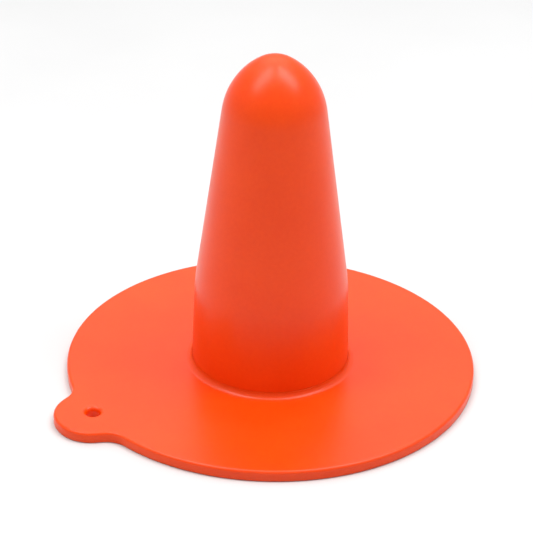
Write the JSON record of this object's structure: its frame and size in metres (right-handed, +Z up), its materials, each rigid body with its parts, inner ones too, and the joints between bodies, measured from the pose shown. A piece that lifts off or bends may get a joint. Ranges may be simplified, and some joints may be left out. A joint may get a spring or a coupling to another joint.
{
  "type": "traffic cone",
  "caption": "Small soft marker cone: a hollow tapered post with a blunt domed tip, held in a thin round base plate with a hang tab.",
  "frame": {"origin": "on the post's axis, level with the plate's underside, where the cone stands on the ground", "axes": "+Z up along the post; -X from the post's axis towards the hang tab; +Y completes the right-handed frame"},
  "size_m": [0.1194, 0.11, 0.0912],
  "materials": {
    "base_plastic": "satin",
    "post_plastic": "satin"
  },
  "bodies": {
    "root": {"base_disc": "base_plastic", "cone_post": "post_plastic"}
  },
  "joints": []
}
